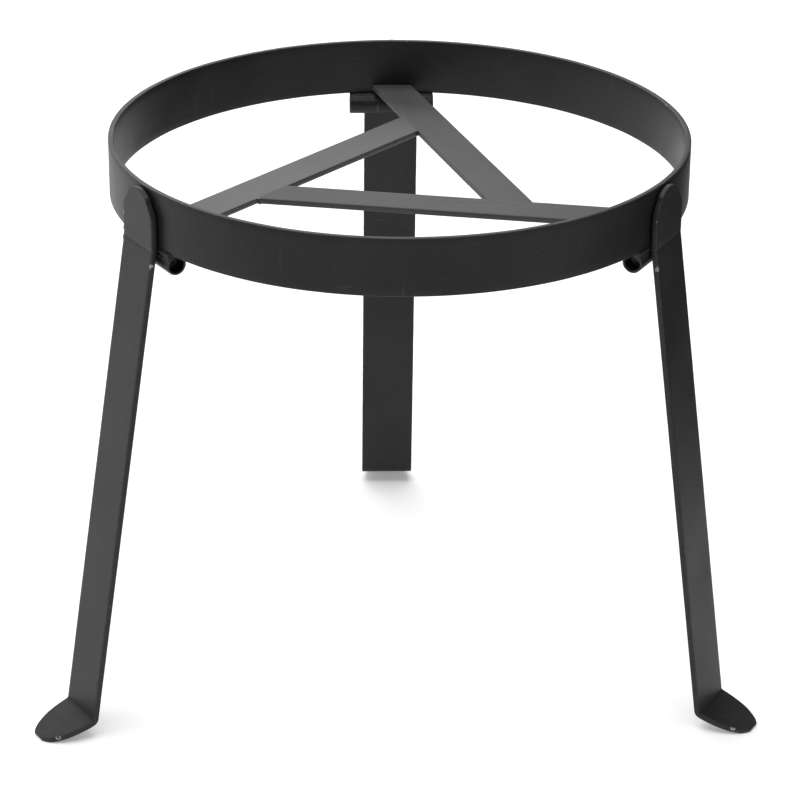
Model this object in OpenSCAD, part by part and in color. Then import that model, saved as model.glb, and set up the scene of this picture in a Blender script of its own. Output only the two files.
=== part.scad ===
// Folding hoop stand: a flat-bar hoop with three rest bars and three hinged legs.
// The origin is on the floor, in the middle of the stand's outer box.
// +Z is up, and the rear leg points towards +Y.

/* [Hoop] */
// Outside diameter of the hoop
hoop_diameter = 300; // [250:5:360]
// Height of the hoop's band
hoop_height = 30; // [24:1:36]
// Thickness of the flat bar that every piece is cut from
stock_thickness = 3; // [2.5:0.5:3.5]

/* [Rest bars] */
// Width of each rest bar
bar_width = 21; // [14:1:26]
// How far the underside of the rest bars lies above the hoop's lower edge
bar_rise = 1.5; // [1.5:0.5:10]
// Distance of each bar's centre line from the hoop's axis: rear, left and right bar
bar_offsets = [43, 47, 33]; // [30:1:52]
// Turn of each bar's outer side from the leg that it starts beside: rear, left and right bar
bar_turns = [-73, -71, -70.6]; // [-76:0.1:-66]

/* [Legs] */
// Height of the stand from the floor to the hoop's top edge
stand_height = 293.5; // [250:0.5:360]
// Width of a leg
leg_width = 30; // [24:1:36]
// How far each leg stands from an even third of the circle: rear, left and right leg
leg_shifts = [0, 0.6, -0.7]; // [-4:0.1:4]
// Lean of each leg from upright: rear, left and right leg
leg_splays = [7.8, 9.3, 8.1]; // [4:0.1:13]
// Length of a foot from its crease to its tip
foot_length = 26.5; // [20:0.5:34]
// Fall of a foot from level
foot_slope = 17.5; // [12:0.5:20]
// Width of the straight end of a foot
foot_tip_width = 8; // [4:1:14]

/* [Hinges] */
// Outside diameter of the hinge tubes
tube_diameter = 10.6; // [8.8:0.2:12.8]
// Wall thickness of the hinge tubes
tube_wall = 1.05; // [0.8:0.05:1.5]
// Length of one hinge knuckle
knuckle_length = 15.4; // [12:0.2:19]
// How far a pin's end lies inside the outer knuckle's mouth
pin_recess = 7; // [3:0.5:9]

/* [Hidden] */
knuckle_gap = 0.3; // between neighbouring knuckles
pin_clearance = 0.08; // pin to the hoop's knuckles, on the radius
pin_press = 0.01; // pin into the leg's knuckle, on the radius
tongue_gap = 0.6; // leg's upper end to the hoop's outer face
tongue_step = 1; // tip of the leg's upper end below the hoop's top edge
crease_drop = 0.5; // leg's upper bend below the hoop's lower edge
tube_root_gap = 0.7; // hinge tube below the hoop's lower edge
tube_inset = 0.2; // hinge tube inside the hoop's outer face
seat = 0.02; // between pieces that are welded together
heel_radius = 4; // outer radius of the bend above the foot
foot_grind = 1.2; // ground off the foot's lower edge to stand flat
bead_radius = 1.4; // weld beads
bead_drop = 0.6; // knuckle weld's centre below the hoop's lower edge
bead_proud = 0.3; // knuckle weld's centre inside the edge that it runs along
leg_weld_height = 5; // weld that joins a leg to its knuckle

function leg_angle(i) = [90, 210, 330][i] + leg_shifts[i]; // rear, left and right leg
hoop_r = hoop_diameter / 2;
hoop_inner_r = hoop_r - stock_thickness;
hoop_bottom = stand_height - hoop_height;
bar_bottom = hoop_bottom + bar_rise;

tube_r = tube_diameter / 2;
bore_r = tube_r - tube_wall;
pin_r = bore_r - pin_clearance;
axis_r = hoop_r - tube_inset - tube_r;
axis_z = hoop_bottom - tube_root_gap - tube_r;
knuckle_step = knuckle_length + knuckle_gap;
barrel_length = 3 * knuckle_length + 2 * knuckle_gap;
pin_length = barrel_length - 2 * pin_recess;

// Side profile of a leg: X is the distance from the hoop's axis, Y is the height.
tongue_n = [1, 0];
function shank_n(i) = [cos(leg_splays[i]), sin(leg_splays[i])];
foot_n = [sin(foot_slope), cos(foot_slope)];
foot_d = [cos(foot_slope), -sin(foot_slope)];
leg_face_r = hoop_r + tongue_gap + stock_thickness;
tongue_top = stand_height - tongue_step;
bend = [leg_face_r, hoop_bottom - crease_drop];
crease_z = foot_length * sin(foot_slope) + stock_thickness * cos(foot_slope) - foot_grind;
function crease(i) = [leg_face_r + (bend[1] - crease_z) * tan(leg_splays[i]), crease_z];
function toe(i) = crease(i) + foot_length * foot_d;
foot_semi_length = foot_length / sqrt(1 - pow(foot_tip_width / leg_width, 2));

// Where the inner faces on both sides of a bend meet
function mitre(p, na, nb, t) = p - t * (na + nb) / (1 + na * nb);

function heel(i) = mitre(crease(i), shank_n(i), foot_n, stock_thickness);
function heel_centre(i) = mitre(heel(i), shank_n(i), foot_n, -heel_radius);
// Distance of the shank's inner face from the hinge's axis
function shank_reach(i) = (bend - [axis_r, axis_z]) * shank_n(i) - stock_thickness;

// The outer box runs from the left foot's tip to the right one's, and from the rear toe
// to the front of the hoop. These put the hoop's axis in it.
function side_reach(i) =
    toe(i)[0] * abs(cos(leg_angle(i))) + foot_tip_width / 2 * abs(sin(leg_angle(i)));
hoop_x = (side_reach(1) - side_reach(2)) / 2;
hoop_y = (hoop_r - toe(0)[0]) / 2;

cut = 1; // how far a cutting shape runs past what it cuts
black = [0.06, 0.06, 0.065];
steel = [0.30, 0.30, 0.31];

// Puts a piece drawn for a leg along +X at one of the three legs.
module at_leg(i) {
    translate([hoop_x, hoop_y, 0]) rotate([0, 0, leg_angle(i)]) children();
}

// A rod along the hinge's direction, centred at y0.
module hinge_rod(r, length, y0, x = axis_r, z = axis_z) {
    translate([x, y0, z]) rotate([90, 0, 0]) cylinder(r = r, h = length, center = true, $fn = 64);
}

module hoop_band() {
    rotate_extrude($fn = 180)
        translate([hoop_inner_r, hoop_bottom]) square([stock_thickness, hoop_height]);
}

module hoop() {
    color(black) translate([hoop_x, hoop_y, 0]) hoop_band();
}

// Angle of a rest bar's outer side, and the bar whose inner edge its end meets
function bar_angle(i) = leg_angle(i) + bar_turns[i];
function next_bar(i) = (i + 2) % 3;
function inner_edge(i) = bar_offsets[i] - bar_width / 2;
// Place along the next bar's inner edge where bar i meets it
function butt_place(i, j) =
    (bar_offsets[i] - inner_edge(j) * cos(bar_angle(i) - bar_angle(j)))
    / sin(bar_angle(i) - bar_angle(j));
function butt_length(i, j) = bar_width / abs(sin(bar_angle(i) - bar_angle(j)));
// Angle on the hoop's inner wall where a line at this distance along the bar ends
function wall_angle(i, d) = bar_angle(i) + acos(d / hoop_inner_r);

module rest_bar(i) {
    j = next_bar(i);
    intersection() {
        rotate([0, 0, bar_angle(i)])
            translate([inner_edge(i), -hoop_r, bar_bottom])
                cube([bar_width, 2 * hoop_r, stock_thickness]);
        translate([0, 0, bar_bottom - cut])
            cylinder(r = hoop_inner_r - seat, h = stock_thickness + 2 * cut, $fn = 180);
        rotate([0, 0, bar_angle(j)])
            translate([inner_edge(j) - seat - 2 * hoop_r, -2 * hoop_r, bar_bottom - cut])
                cube([2 * hoop_r, 4 * hoop_r, stock_thickness + 2 * cut]);
    }
}

// Fillets under a rest bar: one against the hoop's wall, one along the next bar's edge
module rest_bar_welds(i) {
    j = next_bar(i);
    from = wall_angle(i, bar_offsets[i] + bar_width / 2 - bead_radius);
    to = wall_angle(i, bar_offsets[i] - bar_width / 2 + bead_radius);
    difference() {
        union() {
            rotate([0, 0, from]) rotate_extrude(angle = to - from, $fn = 96)
                translate([hoop_inner_r, bar_bottom]) circle(r = bead_radius, $fn = 32);
            rotate([0, 0, bar_angle(j)])
                translate([inner_edge(j), butt_place(i, j), bar_bottom])
                    rotate([90, 0, 0])
                        cylinder(r = bead_radius, h = butt_length(i, j) - 2 * bead_radius,
                            center = true, $fn = 32);
        }
        translate([0, 0, bar_bottom - seat])
            cylinder(r = hoop_r, h = stock_thickness + bead_radius, $fn = 180);
        difference() {
            translate([0, 0, hoop_bottom]) cylinder(r = hoop_r + cut, h = hoop_height, $fn = 180);
            translate([0, 0, hoop_bottom - cut])
                cylinder(r = hoop_inner_r - seat, h = hoop_height + 2 * cut, $fn = 180);
        }
    }
}

module tube(y0, bore) {
    difference() {
        hinge_rod(tube_r, knuckle_length, y0);
        hinge_rod(bore, knuckle_length + 2 * cut, y0);
    }
}

// Welds between the hoop's lower edge and its two knuckles, outside and inside the band.
// Each stays below the hoop and on its own side of the band's middle.
module hoop_knuckle_welds() {
    length = knuckle_length - 2 * bead_radius;
    middle_r = hoop_r - stock_thickness / 2;
    beads = [hoop_r - bead_radius, hoop_inner_r - bead_proud];
    for (side = [-1, 1]) for (i = [0, 1]) difference() {
        hinge_rod(bead_radius, length, side * knuckle_step, beads[i], hoop_bottom - bead_drop);
        hinge_rod(tube_r + seat, knuckle_length, side * knuckle_step);
        translate([middle_r + (i == 0 ? seat - hoop_r : -seat), -hoop_r, 0])
            cube([hoop_r, 2 * hoop_r, stand_height]);
        translate([0, -hoop_r, hoop_bottom - seat])
            cube([2 * hoop_r, 2 * hoop_r, hoop_height]);
    }
}

module leg_profile(i) {
    n = shank_n(i);
    centre = heel_centre(i);
    difference() {
        polygon([
            [leg_face_r, tongue_top], bend, crease(i), toe(i),
            toe(i) - stock_thickness * foot_n, heel(i),
            mitre(bend, tongue_n, n, stock_thickness),
            [leg_face_r - stock_thickness, tongue_top]
        ]);
        // rounds the heel
        difference() {
            polygon([
                centre - heel_radius * n,
                centre - (heel_radius + cut) * n,
                heel(i) - cut * (n + foot_n),
                centre - (heel_radius + cut) * foot_n,
                centre - heel_radius * foot_n
            ]);
            translate(centre) circle(r = heel_radius, $fn = 64);
        }
    }
}

module leg(i) {
    half = leg_width / 2;
    difference() {
        rotate([90, 0, 0]) linear_extrude(leg_width, center = true) leg_profile(i);
        // rounds the upper end
        translate([leg_face_r + cut, 0, tongue_top - half]) rotate([0, -90, 0])
            linear_extrude(stock_thickness + 2 * cut) difference() {
                translate([0, -half - cut]) square([half + cut, leg_width + 2 * cut]);
                circle(r = half, $fn = 96);
            }
        // rounds the foot in plan
        translate([crease(i)[0], 0, crease(i)[1]]) rotate([0, foot_slope, 0])
            translate([0, 0, -2 * stock_thickness])
                linear_extrude(3 * stock_thickness) difference() {
                    translate([0, -half - cut]) square([foot_length + cut, leg_width + 2 * cut]);
                    scale([foot_semi_length / half, 1]) circle(r = half, $fn = 128);
                }
        // the ground flat that the stand rests on
        translate([crease(i)[0] - foot_length, -leg_width, -foot_length])
            cube([3 * foot_length, 2 * leg_width, foot_length]);
    }
}

// Fills the space between the leg's inner face and its knuckle
module leg_weld(i) {
    length = knuckle_length - 2 * bead_radius;
    difference() {
        translate([axis_r, 0, axis_z]) rotate([0, -leg_splays[i], 0])
            translate([0, -length / 2, -leg_weld_height / 2])
                cube([shank_reach(i) - seat, length, leg_weld_height]);
        hinge_rod(tube_r + seat, knuckle_length, 0);
    }
}

module pin() {
    hinge_rod(pin_r, pin_length, 0);
}

module rest_bar_rear() { color(black) translate([hoop_x, hoop_y, 0]) rest_bar(0); }
module rest_bar_left() { color(black) translate([hoop_x, hoop_y, 0]) rest_bar(1); }
module rest_bar_right() { color(black) translate([hoop_x, hoop_y, 0]) rest_bar(2); }
module rest_bar_welds_rear() { color(black) translate([hoop_x, hoop_y, 0]) rest_bar_welds(0); }
module rest_bar_welds_left() { color(black) translate([hoop_x, hoop_y, 0]) rest_bar_welds(1); }
module rest_bar_welds_right() { color(black) translate([hoop_x, hoop_y, 0]) rest_bar_welds(2); }
module hoop_knuckle_rear_a() { color(black) at_leg(0) tube(-knuckle_step, bore_r); }
module hoop_knuckle_rear_b() { color(black) at_leg(0) tube(knuckle_step, bore_r); }
module hoop_knuckle_left_a() { color(black) at_leg(1) tube(-knuckle_step, bore_r); }
module hoop_knuckle_left_b() { color(black) at_leg(1) tube(knuckle_step, bore_r); }
module hoop_knuckle_right_a() { color(black) at_leg(2) tube(-knuckle_step, bore_r); }
module hoop_knuckle_right_b() { color(black) at_leg(2) tube(knuckle_step, bore_r); }
module hoop_knuckle_welds_rear() { color(black) at_leg(0) hoop_knuckle_welds(); }
module hoop_knuckle_welds_left() { color(black) at_leg(1) hoop_knuckle_welds(); }
module hoop_knuckle_welds_right() { color(black) at_leg(2) hoop_knuckle_welds(); }
module leg_rear() { color(black) at_leg(0) leg(0); }
module leg_left() { color(black) at_leg(1) leg(1); }
module leg_right() { color(black) at_leg(2) leg(2); }
module leg_knuckle_rear() { color(black) at_leg(0) tube(0, pin_r - pin_press); }
module leg_knuckle_left() { color(black) at_leg(1) tube(0, pin_r - pin_press); }
module leg_knuckle_right() { color(black) at_leg(2) tube(0, pin_r - pin_press); }
module leg_weld_rear() { color(black) at_leg(0) leg_weld(0); }
module leg_weld_left() { color(black) at_leg(1) leg_weld(1); }
module leg_weld_right() { color(black) at_leg(2) leg_weld(2); }
module hinge_pin_rear() { color(steel) at_leg(0) pin(); }
module hinge_pin_left() { color(steel) at_leg(1) pin(); }
module hinge_pin_right() { color(steel) at_leg(2) pin(); }

hoop();
rest_bar_rear();
rest_bar_left();
rest_bar_right();
rest_bar_welds_rear();
rest_bar_welds_left();
rest_bar_welds_right();
hoop_knuckle_rear_a();
hoop_knuckle_rear_b();
hoop_knuckle_left_a();
hoop_knuckle_left_b();
hoop_knuckle_right_a();
hoop_knuckle_right_b();
hoop_knuckle_welds_rear();
hoop_knuckle_welds_left();
hoop_knuckle_welds_right();
leg_rear();
leg_left();
leg_right();
leg_knuckle_rear();
leg_knuckle_left();
leg_knuckle_right();
leg_weld_rear();
leg_weld_left();
leg_weld_right();
hinge_pin_rear();
hinge_pin_left();
hinge_pin_right();
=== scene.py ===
# Folding hoop stand: looks, floor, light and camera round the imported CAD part.
# Lengths are in millimetres until a mesh is made, which is in metres.
import math

import bpy
import numpy as np
from mathutils import Matrix, Vector, noise


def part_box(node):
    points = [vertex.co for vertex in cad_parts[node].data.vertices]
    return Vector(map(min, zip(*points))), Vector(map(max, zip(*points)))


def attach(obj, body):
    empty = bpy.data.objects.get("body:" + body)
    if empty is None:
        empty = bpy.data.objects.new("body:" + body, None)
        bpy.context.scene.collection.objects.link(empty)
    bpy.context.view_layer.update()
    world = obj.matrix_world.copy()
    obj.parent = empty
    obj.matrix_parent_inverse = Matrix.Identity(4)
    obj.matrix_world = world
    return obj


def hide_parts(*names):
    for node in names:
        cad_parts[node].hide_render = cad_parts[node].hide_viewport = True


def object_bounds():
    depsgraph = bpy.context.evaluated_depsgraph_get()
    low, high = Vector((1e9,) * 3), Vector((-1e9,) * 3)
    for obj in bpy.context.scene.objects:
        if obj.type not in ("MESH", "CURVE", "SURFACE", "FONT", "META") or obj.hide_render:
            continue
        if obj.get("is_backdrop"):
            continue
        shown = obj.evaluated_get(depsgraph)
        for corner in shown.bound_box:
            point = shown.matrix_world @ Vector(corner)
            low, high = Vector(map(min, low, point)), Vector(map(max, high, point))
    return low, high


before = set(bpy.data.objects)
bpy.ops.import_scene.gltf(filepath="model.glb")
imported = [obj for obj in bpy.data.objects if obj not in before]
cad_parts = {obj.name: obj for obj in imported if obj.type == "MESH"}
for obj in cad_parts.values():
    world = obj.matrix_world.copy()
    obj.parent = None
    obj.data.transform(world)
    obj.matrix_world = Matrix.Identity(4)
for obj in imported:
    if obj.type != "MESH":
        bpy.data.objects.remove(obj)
cad_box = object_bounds()
MM = 0.001

# Sizes, as in the CAD model
hoop_low, hoop_high = (np.array(c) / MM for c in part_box("hoop"))
HOOP_X, HOOP_Y = (hoop_low[:2] + hoop_high[:2]) / 2
HOOP_R = (hoop_high[0] - hoop_low[0]) / 2
HOOP_TOP, HOOP_LOW = hoop_high[2], hoop_low[2]
BAR_LOW, BAR_TOP = (c[2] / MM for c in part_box("rest_bar_rear"))
STOCK = BAR_TOP - BAR_LOW
INNER_R = HOOP_R - STOCK
LEG_HALF = 15.0
FOOT_LENGTH = 26.5
FOOT_SLOPE = math.radians(17.5)
FOOT_TIP_HALF = 4.0
TONGUE_GAP = 0.6
TONGUE_STEP = 1.0
BEND_DROP = 0.5
FOOT_GRIND = 1.2
TUBE_R, BORE_R = 5.3, 4.25
KNUCKLE = 15.4
KNUCKLE_STEP = KNUCKLE + 0.3  # with the gap between neighbours
AXIS_R = HOOP_R - 0.2 - TUBE_R
AXIS_Z = HOOP_LOW - 0.7 - TUBE_R
SEAT = 0.05  # between a bar's end and the hoop's wall
BUTT_RUN = 0.6  # how far a bar's end runs into the next bar's rounded edge
BAR_WIDTH = 21.0
BAR_OFFSETS = (43.0, 47.0, 33.0)
BAR_TURNS = (-73.0, -71.0, -70.6)
LEG_ANGLES = (90.0, 210.6, 329.3)
LEG_SPLAYS = tuple(math.radians(a) for a in (7.8, 9.3, 8.1))
NAMES = ("rear", "left", "right")


def rough(x, y, z, per_mm, seed):
    """Smooth noise from -1 to 1, with about per_mm bumps in a millimetre."""
    spot = (x * per_mm + 7.3 * seed, y * per_mm - 3.1 * seed, z * per_mm + 1.7 * seed)
    return noise.noise(Vector(spot))


# ---------------------------------------------------------------- meshes

BARE = 2.0  # worn value of a vertex whose paint has come off


def add_piece(name, verts, faces, worn, material, body, slot, replaces):
    """Makes a smooth-shaded mesh piece.

    worn is 0 to 1 at each vertex, for wear along edges, and BARE where the paint is gone.
    """
    mesh = bpy.data.meshes.new(name)
    mesh.from_pydata([tuple(MM * c for c in v) for v in verts], [], faces)
    mesh.validate()
    mesh.polygons.foreach_set("use_smooth", [True] * len(mesh.polygons))
    layer = mesh.attributes.new("worn", "FLOAT", "POINT")
    layer.data.foreach_set("value", np.asarray(worn, np.float32))
    mesh.materials.append(material)
    mesh.update()
    piece = bpy.data.objects.new(name, mesh)
    bpy.context.scene.collection.objects.link(piece)
    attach(piece, body)
    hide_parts(*replaces)


def outward(loop):
    """Mitred outward normals of a closed flat loop of points."""
    back = loop - np.roll(loop, 1, 0)
    ahead = np.roll(loop, -1, 0) - loop
    area = np.sum(loop[:, 0] * np.roll(loop[:, 1], -1) - np.roll(loop[:, 0], -1) * loop[:, 1])
    turn = 1 if area > 0 else -1
    na = turn * np.stack([back[:, 1], -back[:, 0]], 1)
    nb = turn * np.stack([ahead[:, 1], -ahead[:, 0]], 1)
    na /= np.linalg.norm(na, axis=1)[:, None]
    nb /= np.linalg.norm(nb, axis=1)[:, None]
    return (na + nb) / (1 + np.sum(na * nb, 1))[:, None]


def plate(grid, edge_r, place, seed, wobble=0.05, nick=0.10, steps=3, chips=()):
    """A flat bar with rounded edges, from a grid of flat points (rows, columns, 2).

    place(s, w, z) bends it into shape. wobble and nick are the unevenness of its faces and edges.
    chips lists the spots (s, w, radius) where the paint has come off the upper edge.
    """
    rows, cols = grid.shape[:2]
    half = STOCK / 2
    rim = [(k, 0) for k in range(rows)]
    rim += [(rows - 1, j) for j in range(1, cols)]
    rim += [(k, cols - 1) for k in range(rows - 2, -1, -1)]
    rim += [(0, j) for j in range(cols - 2, 0, -1)]
    loop = np.array([grid[k, j] for k, j in rim])
    normal = outward(loop)
    for i, (s, w) in enumerate(loop):
        depth = nick * (0.5 + 0.5 * rough(s, w, 0, 0.11, seed) + 0.25 * rough(s, w, 5, 0.5, seed))
        loop[i] = loop[i] - max(depth, 0) * normal[i]
    inset = loop - edge_r * normal
    flat = grid.copy()
    for i, (k, j) in enumerate(rim):
        flat[k, j] = inset[i]

    def face_z(s, w, side):
        waves = 0.35 * rough(s, w, side, 0.05, seed)
        sink = wobble * (0.5 + waves + 0.3 * rough(s, w, side, 0.22, seed))
        return side * (half - max(sink, 0))

    def wear(s, w, side, usual):
        bare = side > 0 and any(math.hypot(s - a, w - b) < radius for a, b, radius in chips)
        return BARE if bare else usual

    verts, worn, faces = [], [], []
    for side in (1, -1):
        for k in range(rows):
            for j in range(cols):
                s, w = flat[k, j]
                verts.append((s, w, face_z(s, w, side)))
                edge = k in (0, rows - 1) or j in (0, cols - 1)
                worn.append(wear(s, w, side, 0.55) if edge else 0.0)
    size = rows * cols
    for k in range(rows - 1):
        for j in range(cols - 1):
            a, b, c, d = k * cols + j, (k + 1) * cols + j, (k + 1) * cols + j + 1, k * cols + j + 1
            faces.append((a, b, c, d))
            faces.append((size + d, size + c, size + b, size + a))
    rings = [[k * cols + j for k, j in rim]]
    levels = [(1, math.pi / 2 * m / steps) for m in range(1, steps + 1)]
    levels += [(-1, math.pi / 2 * m / steps) for m in range(steps, 0, -1)]
    for side, turn in levels:
        ring = []
        for i in range(len(rim)):
            s, w = inset[i] + edge_r * math.sin(turn) * normal[i]
            z = face_z(*inset[i], side) - side * edge_r * (1 - math.cos(turn))
            ring.append(len(verts))
            verts.append((s, w, z))
            worn.append(wear(s, w, side, 1.0 if turn < 1.5 else 0.7))
        rings.append(ring)
    rings.append([size + k * cols + j for k, j in rim])
    count = len(rim)
    for upper, lower in zip(rings, rings[1:]):
        for i in range(count):
            n = (i + 1) % count
            faces.append((upper[i], lower[i], lower[n], upper[n]))
    verts = [place(*v) for v in verts]
    return verts, fix_winding(verts, faces), worn


def fix_winding(verts, faces):
    """Turns every face over when the closed mesh is inside out."""
    p = np.array(verts)
    total = 0.0
    for f in faces:
        for a, b in zip(f[1:], f[2:]):
            total += np.dot(p[f[0]], np.cross(p[a], p[b]))
    return faces if total > 0 else [tuple(reversed(f)) for f in faces]


def lathe(profile, count, place, shape):
    """A closed profile of (radius, height, worn), turned round an axis.

    shape(turn, radius, height) makes it uneven and place(x, y, height) puts it in place.
    """
    verts, worn, faces = [], [], []
    n = len(profile)
    for i in range(count):
        turn = 2 * math.pi * i / count
        for r, h, e in profile:
            r, h = shape(turn, r, h)
            verts.append(place(r * math.cos(turn), r * math.sin(turn), h))
            worn.append(e)
    for i in range(count):
        for j in range(n):
            a, b = i * n + j, i * n + (j + 1) % n
            c, d = ((i + 1) % count) * n + (j + 1) % n, ((i + 1) % count) * n + j
            faces.append((a, b, c, d))
    return verts, fix_winding(verts, faces), worn


def rounded_section(r0, r1, z0, z1, edge_r, tall=8, steps=3):
    """Closed section of a band standing on edge: (radius, height, worn), corners rounded."""
    out = []
    corners = [
        (r1 - edge_r, z0 + edge_r, -90),
        (r1 - edge_r, z1 - edge_r, 0),
        (r0 + edge_r, z1 - edge_r, 90),
        (r0 + edge_r, z0 + edge_r, 180),
    ]
    for c, (r, z, start) in enumerate(corners):
        for m in range(steps + 1):
            turn = math.radians(start + 90 * m / steps)
            worn = 0.55 if m in (0, steps) else 1.0
            out.append((r + edge_r * math.cos(turn), z + edge_r * math.sin(turn), worn))
        if c in (0, 2):
            a, b = (z0 + edge_r, z1 - edge_r) if c == 0 else (z1 - edge_r, z0 + edge_r)
            side = r1 if c == 0 else r0
            out += [(side, a + (b - a) * m / tall, 0.0) for m in range(1, tall)]
        else:
            a, b = (r1 - edge_r, r0 + edge_r) if c == 1 else (r0 + edge_r, r1 - edge_r)
            level = z1 if c == 1 else z0
            out += [(a + (b - a) * m / 3, level, 0.6) for m in (1, 2)]
    return out


def bead(length, wide, high, place, seed, pitch=2.2, around=14):
    """A lumpy weld bead along its own Y, with rounded ends and the ripples of each pool."""
    count = max(12, int(length / 0.35))
    verts, worn, faces = [], [], []
    for i in range(count + 1):
        y = -length / 2 + length * i / count
        end = min(1.0, (length / 2 - abs(y)) / (0.8 * wide))
        girth = math.sqrt(max(0.02, 1 - (1 - end) ** 2))
        phase = (y / pitch + 0.25 * rough(y, 0, 0, 0.4, seed)) % 1.0
        girth *= 0.86 + 0.14 * math.sin(math.pi * phase) ** 0.6
        for m in range(around):
            turn = 2 * math.pi * m / around
            x, z = math.cos(turn), math.sin(turn)
            lump = girth * (0.93 + 0.07 * rough(3 * x, y, 3 * z, 0.5, seed))
            verts.append(place(wide * lump * x, y, high * lump * z))
            worn.append(0.3)
    for i in range(count):
        for m in range(around):
            n = (m + 1) % around
            a, b = i * around, (i + 1) * around
            faces.append((a + m, a + n, b + n, b + m))
    faces.append(tuple(range(around)))
    faces.append(tuple(reversed([count * around + m for m in range(around)])))
    return verts, fix_winding(verts, faces), worn


def join_meshes(parts):
    """Several (verts, faces, worn) as one."""
    verts, faces, worn = [], [], []
    for v, f, e in parts:
        base = len(verts)
        verts += v
        faces += [tuple(base + k for k in q) for q in f]
        worn += list(e)
    return verts, faces, worn


def at_leg(i):
    """Turns a point drawn for a leg along +X to its own place."""
    c, s = math.cos(math.radians(LEG_ANGLES[i])), math.sin(math.radians(LEG_ANGLES[i]))
    return lambda x, y, z: (HOOP_X + x * c - y * s, HOOP_Y + x * s + y * c, z)


# ---------------------------------------------------------------- materials


class Nodes:
    """Short calls for one material's nodes."""

    def __init__(self, name):
        self.material = bpy.data.materials.new(name)
        self.material.use_nodes = True
        self.tree = self.material.node_tree
        self.shader = self.tree.nodes["Principled BSDF"]
        self.coords = self.tree.nodes.new("ShaderNodeTexCoord").outputs["Object"]

    def link(self, a, b):
        self.tree.links.new(a, b)

    def scaled(self, scale, turn=(0, 0, 0)):
        n = self.tree.nodes.new("ShaderNodeMapping")
        n.inputs["Scale"].default_value = scale
        n.inputs["Rotation"].default_value = turn
        self.link(self.coords, n.inputs["Vector"])
        return n.outputs["Vector"]

    def noise(self, scale, detail=2.0, vector=None, rough_share=0.5):
        n = self.tree.nodes.new("ShaderNodeTexNoise")
        n.inputs["Scale"].default_value = scale
        n.inputs["Detail"].default_value = detail
        n.inputs["Roughness"].default_value = rough_share
        self.link(vector or self.coords, n.inputs["Vector"])
        return n.outputs["Fac"]

    def cells(self, scale, vector=None):
        n = self.tree.nodes.new("ShaderNodeTexVoronoi")
        n.inputs["Scale"].default_value = scale
        self.link(vector or self.coords, n.inputs["Vector"])
        return n.outputs["Distance"]

    def span(self, value, low, high, out_low=0.0, out_high=1.0):
        n = self.tree.nodes.new("ShaderNodeMapRange")
        n.inputs["From Min"].default_value = low
        n.inputs["From Max"].default_value = high
        n.inputs["To Min"].default_value = out_low
        n.inputs["To Max"].default_value = out_high
        self.link(value, n.inputs["Value"])
        return n.outputs["Result"]

    def math(self, kind, a, b):
        n = self.tree.nodes.new("ShaderNodeMath")
        n.operation = kind
        for i, v in enumerate((a, b)):
            if isinstance(v, (int, float)):
                n.inputs[i].default_value = v
            else:
                self.link(v, n.inputs[i])
        return n.outputs[0]

    def blend(self, share, a, b):
        n = self.tree.nodes.new("ShaderNodeMix")
        n.data_type = "RGBA"
        self.link(share, n.inputs[0])
        for socket, v in ((n.inputs[6], a), (n.inputs[7], b)):
            if isinstance(v, tuple):
                socket.default_value = (*v, 1.0)
            else:
                self.link(v, socket)
        return n.outputs[2]

    def worn(self):
        n = self.tree.nodes.new("ShaderNodeAttribute")
        n.attribute_name = "worn"
        return n.outputs["Fac"]

    def bump(self, height, depth, under=None):
        n = self.tree.nodes.new("ShaderNodeBump")
        n.inputs["Distance"].default_value = depth
        self.link(height, n.inputs["Height"])
        if under:
            self.link(under, n.inputs["Normal"])
        return n.outputs["Normal"]


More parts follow.
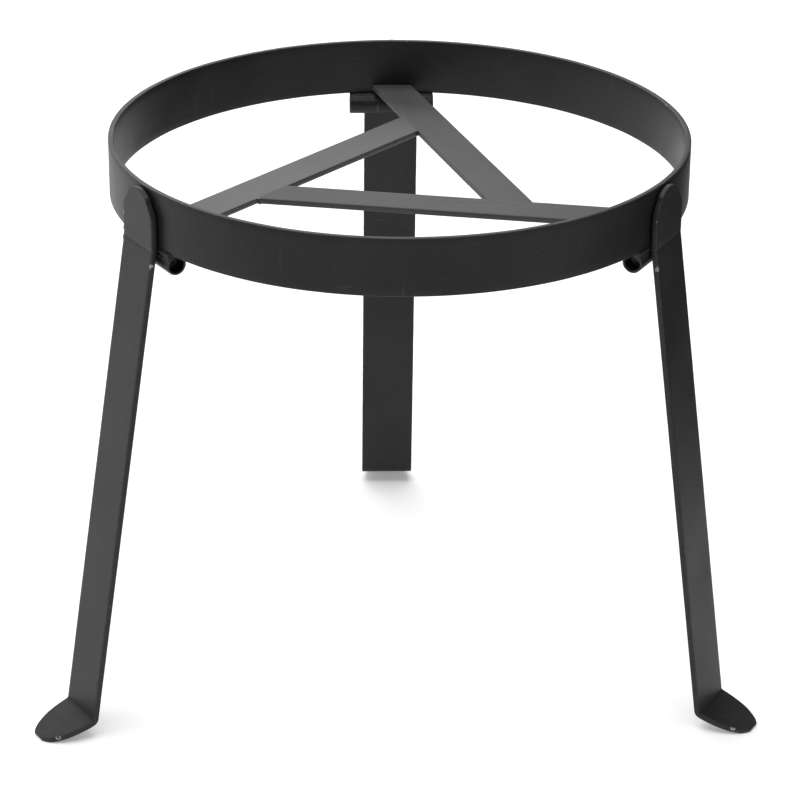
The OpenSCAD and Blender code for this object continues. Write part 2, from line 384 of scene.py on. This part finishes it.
def black_paint(name, tone, rough_low=0.36, rough_high=0.50, edge_wear=0.3, grain=1.0, shine=0.22):
    """Satin black paint on steel: orange peel, dust, faint scratches, wear and chips at edges, and a
    painted highlight along every edge.

    The first edge tone is partly paint run thin towards an edge and partly a painted highlight along
    every edge; rub is an edge rubbed to grey, chip is a flake gone from an edge, and bare is a whole
    spot marked in the mesh.
    """
    m = Nodes(name)
    cloud = m.noise(28, 4)
    peel = m.noise(1500, 2)
    speck = m.span(m.noise(2600, 1), 0.70, 0.76)
    dust = m.span(m.noise(700, 3, rough_share=0.7), 0.62, 0.80)
    long_marks = m.noise(260, 3, m.scaled((1.0, 1.0, 0.05), (0.12, 0.2, 0.3)))
    cross_marks = m.noise(330, 2, m.scaled((0.05, 1.0, 1.0), (0.5, 0.3, 0.9)))
    marks = m.math("MAXIMUM", m.span(long_marks, 0.69, 0.73), m.span(cross_marks, 0.70, 0.74))
    worn = m.worn()
    thin_paint_and_edge_highlight = m.math("MULTIPLY", m.span(worn, 0.4, 0.7), m.span(m.noise(90, 3), 0.3, 0.6, 0.2, 1.0))
    rub = m.math("MULTIPLY", m.span(worn, 0.75, 1.0),
                 m.span(m.noise(240, 4, rough_share=0.65), 0.38, 0.72))
    chip = m.math("MULTIPLY", m.span(worn, 0.5, 0.9),
                  m.span(m.noise(380, 3, rough_share=0.6), 0.71, 0.73))
    bare = m.math("MULTIPLY", m.span(worn, 1.2, 1.5), m.span(m.noise(900, 2), 0.35, 0.5))
    chip = m.math("MAXIMUM", chip, bare)
    base = m.blend(m.span(cloud, 0.35, 0.65), (tone * 0.8,) * 3,
                   (tone * 1.25, tone * 1.22, tone * 1.2))
    base = m.blend(m.math("MULTIPLY", dust, 0.45), base, (0.035, 0.035, 0.036))
    base = m.blend(m.math("MULTIPLY", marks, 0.5), base, (0.045, 0.045, 0.046))
    base = m.blend(m.math("MULTIPLY", speck, 0.55), base, (0.11, 0.11, 0.112))
    # painted highlight: every edge is lightened a little, partly as thin paint
    base = m.blend(m.math("MULTIPLY", thin_paint_and_edge_highlight, 0.35), base, (0.045, 0.045, 0.046))
    base = m.blend(m.math("MULTIPLY", rub, edge_wear), base, (0.13, 0.13, 0.132))
    base = m.blend(m.math("MULTIPLY", chip, 0.95), base, (0.42, 0.415, 0.41))
    m.link(base, m.shader.inputs["Base Color"])
    gloss = m.span(m.math("ADD", m.math("MULTIPLY", cloud, 0.6), m.math("MULTIPLY", peel, 0.4)),
                   0.35, 0.65, rough_low, rough_high)
    gloss = m.math("ADD", gloss, m.math("MULTIPLY", m.math("MAXIMUM", marks, speck), 0.12))
    m.link(gloss, m.shader.inputs["Roughness"])
    m.shader.inputs["Specular IOR Level"].default_value = shine
    normal = m.bump(peel, 0.000035 * grain)
    normal = m.bump(m.noise(220, 3), 0.00006 * grain, normal)
    normal = m.bump(m.math("SUBTRACT", speck, chip), 0.00005 * grain, normal)
    m.link(normal, m.shader.inputs["Normal"])
    return m.material


def weld_paint(name):
    """Paint over a weld: rougher, with spatter and a little scale showing through."""
    m = Nodes(name)
    coarse = m.noise(900, 4, rough_share=0.65)
    flecks = m.span(m.noise(1700, 2), 0.60, 0.70)
    base = m.blend(m.span(coarse, 0.38, 0.66), (0.014, 0.014, 0.014), (0.034, 0.033, 0.032))
    base = m.blend(m.math("MULTIPLY", flecks, 0.45), base, (0.12, 0.117, 0.114))
    m.link(base, m.shader.inputs["Base Color"])
    m.link(m.span(coarse, 0.3, 0.7, 0.42, 0.66), m.shader.inputs["Roughness"])
    m.shader.inputs["Specular IOR Level"].default_value = 0.4
    normal = m.bump(coarse, 0.00022)
    m.link(m.bump(m.cells(1300), 0.00010, normal), m.shader.inputs["Normal"])
    return m.material


def pin_steel(name):
    """Drawn steel inside a tube: dull, with fine turning lines and a grey-brown film."""
    m = Nodes(name)
    film = m.noise(300, 4, rough_share=0.6)
    m.link(m.blend(m.span(film, 0.35, 0.65), (0.20, 0.195, 0.19), (0.09, 0.08, 0.072)),
           m.shader.inputs["Base Color"])
    m.shader.inputs["Metallic"].default_value = 1.0
    m.link(m.span(film, 0.3, 0.7, 0.38, 0.62), m.shader.inputs["Roughness"])
    m.link(m.bump(m.noise(2400, 2), 0.00003), m.shader.inputs["Normal"])
    return m.material


hoop_paint = black_paint("hoop_paint", tone=0.017, edge_wear=0.4)
leg_paint = black_paint("leg_paint", tone=0.019, edge_wear=0.3)
# Painted light: the rest bars get lighter tones than the hoop, one per bar, as lit and shaded copies
# of the same black paint, so each bar's top shows how much light it catches.
bar_paints_lit_and_shaded = {
    "rear": black_paint("bar_paint_rear", tone=0.052, rough_low=0.58, rough_high=0.68, shine=0.62),
    "left": black_paint("bar_paint_left", tone=0.048, rough_low=0.46, rough_high=0.56, shine=0.74),
    "right": black_paint("bar_paint_right", tone=0.038, rough_low=0.48, rough_high=0.58, shine=0.46),
}
tube_paint = black_paint("tube_paint", tone=0.014, edge_wear=0.6, grain=1.4)
bead_paint = weld_paint("bead_paint")
steel = pin_steel("pin_steel")

# ---------------------------------------------------------------- hoop

EDGE_R = 0.45
HOOP_SEGMENTS = 540


def hoop_shape(turn, r, z):
    """A rolled bar is never quite true: the wall and both edges wander a little."""
    x, y = math.cos(turn), math.sin(turn)
    wall = 0.05 * rough(60 * x, 60 * y, z, 0.05, 2)
    top = max(0.0, (z - HOOP_LOW) / (HOOP_TOP - HOOP_LOW) - 0.5) * 2
    dip = 0.07 * (1 + rough(150 * x, 150 * y, 9, 0.06, 3)) * (1 if top > 0.9 else 0)
    rise = 0.07 * (1 + rough(150 * x, 150 * y, 4, 0.06, 4)) * (1 if z < HOOP_LOW + 1 else 0)
    squeeze = 0.05 if r > HOOP_R - 1 else -0.05
    return r - squeeze + wall, z - dip + rise


def hoop_place(x, y, z):
    return HOOP_X + x, HOOP_Y + y, z


section = rounded_section(INNER_R, HOOP_R, HOOP_LOW, HOOP_TOP, EDGE_R)
add_piece("hoop_band", *lathe(section, HOOP_SEGMENTS, hoop_place, hoop_shape), hoop_paint,
          "hoop_frame", "black_paint", ["hoop"])

# ---------------------------------------------------------------- rest bars


def bar_frame(i):
    """Directions across and along rest bar i."""
    a = math.radians(LEG_ANGLES[i] + BAR_TURNS[i])
    return np.array([math.cos(a), math.sin(a)]), np.array([-math.sin(a), math.cos(a)])


def bar_ends(i, c):
    """Where the line at distance c from the hoop's axis starts at the wall and meets the next bar."""
    n, d = bar_frame(i)
    j = (i + 2) % 3
    nj, _ = bar_frame(j)
    edge = BAR_OFFSETS[j] - BAR_WIDTH / 2 + BUTT_RUN
    return math.sqrt((INNER_R - SEAT) ** 2 - c * c), (edge - c * nj.dot(n)) / nj.dot(d)


def bar_grid(i, rows=110, cols=13):
    n, d = bar_frame(i)
    grid = np.zeros((rows, cols, 2))
    for j in range(cols):
        c = BAR_OFFSETS[i] - BAR_WIDTH / 2 + BAR_WIDTH * j / (cols - 1)
        wall, butt = bar_ends(i, c)
        for k in range(rows):
            grid[k, j] = c * n + (wall + (butt - wall) * k / (rows - 1)) * d
    return grid


def bar_place(x, y, z):
    return HOOP_X + x, HOOP_Y + y, (BAR_LOW + BAR_TOP) / 2 + z


def joint_chips(i):
    """Flaked paint where a bar is ground flush with the side of the next one."""
    n, d = bar_frame(i)
    spots = []
    for share, radius in ((-0.9, 0.6), (-0.35, 0.5), (0.8, 0.5), (0.98, 0.7)):
        c = BAR_OFFSETS[i] + share * BAR_WIDTH / 2
        spots.append((*(c * n + (bar_ends(i, c)[1] + BUTT_RUN + 0.3) * d), radius))
    return spots


for i, side in enumerate(NAMES):
    bar = plate(bar_grid(i), 0.4, bar_place, 11 + i, nick=0.06, chips=joint_chips(i))
    add_piece(f"cross_bar_{side}", *bar, bar_paints_lit_and_shaded[side], "hoop_frame", "black_paint",
              [f"rest_bar_{side}"])

# ---------------------------------------------------------------- legs

LEG_FACE_R = HOOP_R + TONGUE_GAP + STOCK
TONGUE_TOP = HOOP_TOP - TONGUE_STEP
N_TONGUE = np.array([1.0, 0.0])
N_FOOT = np.array([math.sin(FOOT_SLOPE), math.cos(FOOT_SLOPE)])
D_FOOT = np.array([math.cos(FOOT_SLOPE), -math.sin(FOOT_SLOPE)])
BEND = np.array([LEG_FACE_R, HOOP_LOW - BEND_DROP])
CREASE_Z = FOOT_LENGTH * math.sin(FOOT_SLOPE) + STOCK * math.cos(FOOT_SLOPE) - FOOT_GRIND
FOOT_SEMI = FOOT_LENGTH / math.sqrt(1 - (FOOT_TIP_HALF / LEG_HALF) ** 2)
BEND_R, HEEL_R = 5.0, 4.0  # of the bend's middle plane, and of the heel's outer face
TIP = math.radians(40)  # half of the arc that rounds a leg's upper end
TIP_STEPS = 12
TIP_FADE = 9.0  # length over which the rows turn from arcs to straight lines
ROW, FOOT_ROW, BEND_ROW = 2.2, 0.75, 0.45  # spacing of the rows
BEND_REACH = 5.0  # how far from a bend the rows lie close together
BEND_STEPS = 16
# places along leg_path: start, upper bend's arc, foot's crease arc, end
BEND_MIDDLE = 1 + BEND_STEPS // 2
CREASE_START = 2 + BEND_STEPS
CREASE_MIDDLE = CREASE_START + BEND_STEPS // 2


def shank_normal(i):
    return np.array([math.cos(LEG_SPLAYS[i]), math.sin(LEG_SPLAYS[i])])


def crease_point(i):
    return np.array([LEG_FACE_R + (BEND[1] - CREASE_Z) * math.tan(LEG_SPLAYS[i]), CREASE_Z])


def leg_path(i):
    """The middle plane of a leg as (lengths, points, outward normals), with rounded bends."""
    half = STOCK / 2
    n_shank, crease = shank_normal(i), crease_point(i)
    corners = [
        np.array([LEG_FACE_R - half, TONGUE_TOP]),
        BEND - half * (N_TONGUE + n_shank) / (1 + N_TONGUE @ n_shank),
        crease - half * (n_shank + N_FOOT) / (1 + n_shank @ N_FOOT),
        crease + FOOT_LENGTH * D_FOOT - half * N_FOOT,
    ]
    radii = [0, BEND_R, HEEL_R - half, 0]
    lengths, points, normals = [0.0], [corners[0]], [N_TONGUE]

    def step(point, normal):
        lengths.append(lengths[-1] + float(np.linalg.norm(point - points[-1])))
        points.append(point)
        normals.append(normal)

    for c in (1, 2):
        before = corners[c] - corners[c - 1]
        before /= np.linalg.norm(before)
        after = corners[c + 1] - corners[c]
        after /= np.linalg.norm(after)
        turn = math.acos(before @ after)
        reach = radii[c] * math.tan(turn / 2)
        normal = np.array([-before[1], before[0]])
        start = corners[c] - reach * before
        centre = start + radii[c] * normal
        step(start, normal)
        for m in range(1, BEND_STEPS + 1):
            a = turn * m / BEND_STEPS
            spin = np.array([[math.cos(a), -math.sin(a)], [math.sin(a), math.cos(a)]])
            step(centre + spin @ (start - centre), spin @ normal)
    step(corners[3], N_FOOT)
    return np.array(lengths), np.array(points), np.array(normals)


class LegShape:
    """One leg: the path that its flat bar is bent along, and the flat grid that it is cut from."""

    def __init__(self, i):
        self.i = i
        self.s, self.p, self.n = leg_path(i)
        self.end = self.s[-1]
        self.bend_s, self.crease_s = self.s[BEND_MIDDLE], self.s[CREASE_MIDDLE]
        self.turn = at_leg(i)
        self.seed = 31 + i

    def on_path(self, s):
        p = np.array([np.interp(s, self.s, self.p[:, m]) for m in (0, 1)])
        n = np.array([np.interp(s, self.s, self.n[:, m]) for m in (0, 1)])
        return p, n / np.linalg.norm(n)

    def rows(self):
        """Stations along the leg: close together at its round end, its bends and its foot."""
        turns = [TIP + (math.pi / 2 - TIP) * m / TIP_STEPS for m in range(TIP_STEPS + 1)]
        rows = [LEG_HALF * (1 - math.cos(a)) for a in turns]
        s = rows[-1]
        while s < self.end - FOOT_ROW:
            near = min(abs(s - self.bend_s), abs(s - self.crease_s))
            if s > self.crease_s + BEND_REACH:
                s += FOOT_ROW
            else:
                s += BEND_ROW if near < BEND_REACH else ROW
            rows.append(min(s, self.end))
        rows[-1] = self.end
        return rows

    def half_width(self, s):
        if s < LEG_HALF:
            return math.sqrt(LEG_HALF ** 2 - (LEG_HALF - s) ** 2)
        beyond = float((self.on_path(s)[0] - crease_point(self.i)) @ D_FOOT)
        if s > self.s[CREASE_START] and beyond > 0:
            return LEG_HALF * math.sqrt(max(0.0, 1 - (beyond / FOOT_SEMI) ** 2))
        return LEG_HALF

    def grid(self, cols=17):
        rows = self.rows()
        grid = np.zeros((len(rows), cols, 2))
        for k, s in enumerate(rows):
            half = self.half_width(s)
            fade = max(0.0, 1 - (s - rows[0]) / TIP_FADE) ** 2
            for j in range(cols):
                t = -1 + 2 * j / (cols - 1)
                bulge = LEG_HALF * (1 - math.cos(TIP * t)) - rows[0]
                across = LEG_HALF * math.sin(TIP * t)
                grid[k, j] = s + fade * bulge, half * t + fade * (across - half * t)
        return grid

    def place(self, s, w, z):
        inside = min(max(s, 0.0), self.end)
        point, normal = self.on_path(inside)
        # the hand-made bend leaves a shallow uneven hollow across the bar
        line = self.bend_s + 0.9 * rough(w, 3, self.seed, 0.12, self.seed)
        uneven = 0.7 + 0.6 * rough(w, 0, 0, 0.3, self.seed)
        if z > 0:
            z -= max(0.0, 0.16 * math.exp(-((s - line) / 1.1) ** 2) * uneven)
        if s > self.crease_s + 2:
            z += 0.10 * rough(s, w, 2, 0.14, self.seed) - 0.10
        along = np.array([normal[1], -normal[0]])
        r, h = point + normal * z + along * (s - inside)
        return self.turn(r, w, max(h, 0.0))

    def chips(self):
        """Bare spots: near the toe, and beside the upper bend, on the side that gets knocked."""
        side = (-1, 1, -1)[self.i]
        toe = self.end - 6.5 - self.i
        knock = self.bend_s + 5 + 2 * self.i
        return [
            (toe, side * self.half_width(toe), 0.8),
            (toe + 1.2, side * self.half_width(toe + 1.2), 0.6),
            (knock, side * LEG_HALF, 1.3),
            (LEG_HALF + 1 + self.i, -side * LEG_HALF, 0.9),
        ]


for i, side in enumerate(NAMES):
    shape = LegShape(i)
    bar = plate(shape.grid(), 0.55, shape.place, 21 + i, wobble=0.07, nick=0.12,
                chips=shape.chips())
    add_piece(f"flat_leg_{side}", *bar, leg_paint, f"leg_{side}_body", "black_paint",
              [f"leg_{side}"])

# ---------------------------------------------------------------- hinges

LIP_R = 0.28  # rounding of a tube's ends
LIP_STEPS = 4
TUBE_SEGMENTS = 56


def tube_profile():
    """Closed section of a hinge tube: outer wall, top end, bore, bottom end."""
    half = KNUCKLE / 2
    arc = [math.pi / 2 * m / LIP_STEPS for m in range(LIP_STEPS + 1)]
    top = [(TUBE_R - LIP_R + LIP_R * math.cos(a), half - LIP_R + LIP_R * math.sin(a), 0.9)
           for a in arc]
    top.append(((TUBE_R + BORE_R) / 2, half, 1.0))
    top += [(BORE_R + LIP_R - LIP_R * math.cos(a), half - LIP_R + LIP_R * math.sin(a), 0.9)
            for a in reversed(arc)]
    bottom = [(r, -h, e) for r, h, e in reversed(top)]
    levels = [half * m / 4 for m in range(-3, 4)]
    outer = [(TUBE_R, h, 0.0) for h in levels]
    inner = [(BORE_R, h, 0.0) for h in reversed(levels)]
    return outer + top + inner + bottom


def tube_place(i, y0):
    turn = at_leg(i)
    return lambda a, b, h: turn(AXIS_R + a, y0 + h, AXIS_Z + b)


def knuckle_piece(name, i, y0, body, node):
    """One length of hinge tube, y0 along the pin from the leg's middle."""
    seed = 51 + 3 * i + round(y0)

    def shape(turn, r, h):
        return r - 0.03 * (1 + rough(6 * math.cos(turn), 6 * math.sin(turn), h, 0.2, seed)), h

    add_piece(name, *lathe(tube_profile(), TUBE_SEGMENTS, tube_place(i, y0), shape), tube_paint,
              body, "black_paint", [node])


def bead_place(i, x, z, tilt):
    turn = at_leg(i)
    c, s = math.cos(tilt), math.sin(tilt)
    return lambda a, y, b: turn(x + a * c - b * s, y, z + a * s + b * c)


def knuckle_fillet(i, y0, seed):
    """The weld that fills the corner between the hoop's lower edge and a knuckle."""
    half = KNUCKLE / 2 - 0.1
    mid_wall = (TUBE_R + BORE_R) / 2

    def round_axis(radius, degrees):
        a = math.radians(degrees)
        return AXIS_R + radius * math.cos(a), AXIS_Z + radius * math.sin(a)

    outline = [(HOOP_R - 0.25, HOOP_LOW + 0.25), (HOOP_R - 0.15, HOOP_LOW - 0.9)]
    outline += [round_axis(TUBE_R + proud, a) for a, proud in ((44, 0.75), (34, 0.35), (22, 0.02))]
    outline += [round_axis(mid_wall, a) for a in range(22, 131, 12)]
    outline += [round_axis(TUBE_R + proud, a) for a, proud in ((128, 0.02), (112, 0.25), (98, 0.6))]
    outline += [(INNER_R + 0.2, HOOP_LOW - 0.5), (INNER_R + 0.2, HOOP_LOW + 0.25)]
    outline = np.array(outline)
    middle = np.array([HOOP_R - 1.8, HOOP_LOW - 1.6])
    turn = at_leg(i)
    rows, verts, faces = 36, [], []
    for k in range(rows + 1):
        y = -half + 2 * half * k / rows
        end = min(1.0, (half - abs(y)) / 1.6)
        swell = 0.74 + 0.26 * math.sqrt(max(0.0, 1 - (1 - end) ** 2))
        ripple = 0.12 * math.sin(2 * math.pi * (y / 2.1 + 0.3 * rough(y, 0, 0, 0.4, seed)))
        for m, p in enumerate(outline):
            q = middle + (p - middle) * swell
            if 1 <= m <= 4 or m >= len(outline) - 4:  # the two faces that show
                lump = 0.10 * rough(q[0], y, q[1], 0.5, seed) + ripple - 0.12
                q = q + lump * (p - middle) / np.linalg.norm(p - middle)
            verts.append(turn(min(q[0], HOOP_R - 0.05), y0 + y, q[1]))
    count = len(outline)
    for k in range(rows):
        for m in range(count):
            n = (m + 1) % count
            faces.append((k * count + m, k * count + n, (k + 1) * count + n, (k + 1) * count + m))
    faces.append(tuple(range(count)))
    faces.append(tuple(reversed([rows * count + m for m in range(count)])))
    return verts, fix_winding(verts, faces), [0.3] * len(verts)


BAR_WELD_HALF = 9.0  # half the length of a weld across a rest bar

for i, side in enumerate(NAMES):
    knuckle_piece(f"barrel_{side}_a", i, -KNUCKLE_STEP, "hoop_frame", f"hoop_knuckle_{side}_a")
    knuckle_piece(f"barrel_{side}_b", i, KNUCKLE_STEP, "hoop_frame", f"hoop_knuckle_{side}_b")
    knuckle_piece(f"barrel_{side}_leg", i, 0, f"leg_{side}_body", f"leg_knuckle_{side}")

    beads = [knuckle_fillet(i, end * KNUCKLE_STEP, 61 + 5 * i + end) for end in (-1, 1)]
    add_piece(f"hinge_beads_{side}", *join_meshes(beads), bead_paint, "hoop_frame", "black_paint",
              [f"hoop_knuckle_welds_{side}"])

    # the weld between the leg's inner face and its knuckle
    n_shank = shank_normal(i)
    reach = float((BEND - np.array([AXIS_R, AXIS_Z])) @ n_shank) - STOCK
    middle = (TUBE_R + reach) / 2
    at = (AXIS_R + middle * n_shank[0], AXIS_Z + middle * n_shank[1])
    block = bead(KNUCKLE - 1.6, (reach - TUBE_R) / 2 + 0.35, 2.5,
                 bead_place(i, at[0] - 0.1, at[1], LEG_SPLAYS[i]), 81 + i, pitch=2.8, around=20)
    add_piece(f"leg_bead_{side}", *block, bead_paint, f"leg_{side}_body", "black_paint",
              [f"leg_weld_{side}"])

    # welds under the rest bar: at the hoop's wall, and along the next bar's edge
    n, d = bar_frame(i)
    sides = (BAR_OFFSETS[i] - BAR_WELD_HALF, BAR_OFFSETS[i] + BAR_WELD_HALF)
    ends = [c * n + (bar_ends(i, c)[0] - 0.2) * d for c in sides]
    butts = [c * n + bar_ends(i, c)[1] * d for c in sides]
    welds = []
    for number, (a, b) in enumerate((ends, butts)):
        mid = (a + b) / 2
        run = (b - a) / np.linalg.norm(b - a)
        across = np.array([run[1], -run[0]])

        def put(x, y, z, mid=mid, run=run, across=across, wall=number == 0):
            p = mid + x * across + y * run
            if wall:
                radius = np.linalg.norm(mid + y * run)
                p = p * (1 + (INNER_R - 0.35 - radius) / np.linalg.norm(p))
            return HOOP_X + p[0], HOOP_Y + p[1], BAR_LOW - 0.15 + min(z, 0.1)

        welds.append(bead(float(np.linalg.norm(b - a)), 1.3, 1.15, put, 91 + 2 * i + number))
    add_piece(f"bar_beads_{side}", *join_meshes(welds), bead_paint, "hoop_frame", "black_paint",
              [f"rest_bar_welds_{side}"])

    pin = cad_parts[f"hinge_pin_{side}"]
    pin.data.materials.clear()
    pin.data.materials.append(steel)
    soften = pin.modifiers.new("soften", "BEVEL")
    soften.width = 0.0004
    soften.segments = 3
    soften.limit_method = "ANGLE"

# ---------------------------------------------------------------- floor and light

FLOOR_HALF = 14.0
FLAG_X, FLAG_FRONT, FLAG_BACK, FLAG_TOP = 0.46, -0.25, 2.6, 1.2

floor_mesh = bpy.data.meshes.new("floor")
floor_corners = [(-FLOOR_HALF, -FLOOR_HALF, 0), (FLOOR_HALF, -FLOOR_HALF, 0),
                 (FLOOR_HALF, FLOOR_HALF, 0), (-FLOOR_HALF, FLOOR_HALF, 0)]
floor_mesh.from_pydata(floor_corners, [], [(0, 1, 2, 3)])
floor = bpy.data.objects.new("floor", floor_mesh)
bpy.context.scene.collection.objects.link(floor)
floor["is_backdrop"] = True
floor_nodes = Nodes("pale_floor")
tint = floor_nodes.noise(3, 2)
floor_nodes.link(floor_nodes.blend(tint, (0.93, 0.93, 0.93), (0.96, 0.96, 0.96)),
                 floor_nodes.shader.inputs["Base Color"])
floor_nodes.shader.inputs["Roughness"].default_value = 0.9
floor_nodes.shader.inputs["Specular IOR Level"].default_value = 0.0
floor_nodes.shader.inputs["Emission Color"].default_value = (1, 1, 1, 1)
floor_nodes.shader.inputs["Emission Strength"].default_value = 0.27
floor_mesh.materials.append(floor_nodes.material)

CENTRE = Vector((0, 0, 0.15))


def panel(name, place, size, watts):
    """A soft square light that faces the stand."""
    data = bpy.data.lights.new(name, "AREA")
    data.shape = "RECTANGLE"
    data.size, data.size_y = size
    data.energy = watts
    lamp = bpy.data.objects.new(name, data)
    bpy.context.scene.collection.objects.link(lamp)
    lamp.location = place
    lamp.rotation_mode = "QUATERNION"
    lamp.rotation_quaternion = (Vector(place) - CENTRE).to_track_quat("Z", "Y")
    lamp.visible_camera = False


panel("overhead", (-0.3, 0.1, 2.6), (2.6, 2.6), 60)
panel("backdrop", (-0.5, 2.8, 1.5), (3.4, 1.8), 38)
panel("left_side", (-2.4, 0.4, 1.0), (1.2, 1.4), 8)

# a black flag on the right, seen only in the paint's gloss
flag_mesh = bpy.data.meshes.new("flag")
flag_corners = [(FLAG_X, FLAG_FRONT, 0), (FLAG_X, FLAG_BACK, 0),
                (FLAG_X, FLAG_BACK, FLAG_TOP), (FLAG_X, FLAG_FRONT, FLAG_TOP)]
flag_mesh.from_pydata(flag_corners, [], [(0, 1, 2, 3)])
flag = bpy.data.objects.new("flag", flag_mesh)
bpy.context.scene.collection.objects.link(flag)
flag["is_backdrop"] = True
flag.visible_camera = flag.visible_diffuse = flag.visible_shadow = False
flag_nodes = Nodes("flag_cloth")
flag_nodes.link(flag_nodes.blend(flag_nodes.noise(40, 3), (0.015, 0.015, 0.015), (0.03, 0.03, 0.03)),
                flag_nodes.shader.inputs["Base Color"])
flag_mesh.materials.append(flag_nodes.material)

world = bpy.data.worlds.new("studio")
bpy.context.scene.world = world
world.use_nodes = True
world.node_tree.nodes["Background"].inputs["Color"].default_value = (1, 1, 1, 1)
world.node_tree.nodes["Background"].inputs["Strength"].default_value = 0.2
bpy.context.scene.view_settings.view_transform = "Standard"

# ---------------------------------------------------------------- camera

camera_data = bpy.data.cameras.new("camera")
camera_data.sensor_width = 36.0
camera_data.lens = 142.19
camera_data.clip_start, camera_data.clip_end = 0.05, 60.0
camera = bpy.data.objects.new("camera", camera_data)
bpy.context.scene.collection.objects.link(camera)
CAMERA_SIDE, CAMERA_BACK, CAMERA_UP = 0.01682, 1.53824, 0.55439
CAMERA_PITCH, CAMERA_TURN, CAMERA_YAW, CAMERA_ROLL = 24.689, -2.554, 0.578, 0.473
turn = Matrix.Rotation(math.radians(CAMERA_TURN), 4, "Z")
yaw = Matrix.Rotation(math.radians(CAMERA_YAW), 4, "Z")
tilt = Matrix.Rotation(math.radians(90 - CAMERA_PITCH), 4, "X")
roll = Matrix.Rotation(math.radians(CAMERA_ROLL), 4, "Z")
axis = Matrix.Translation((HOOP_X * MM, HOOP_Y * MM, HOOP_TOP * MM))
camera.matrix_world = (axis @ turn @ Matrix.Translation((CAMERA_SIDE, -CAMERA_BACK, CAMERA_UP))
                       @ yaw @ tilt @ roll)
bpy.context.scene.camera = camera

bpy.context.view_layer.update()
[[list(c) for c in box] for box in (cad_box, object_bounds())]
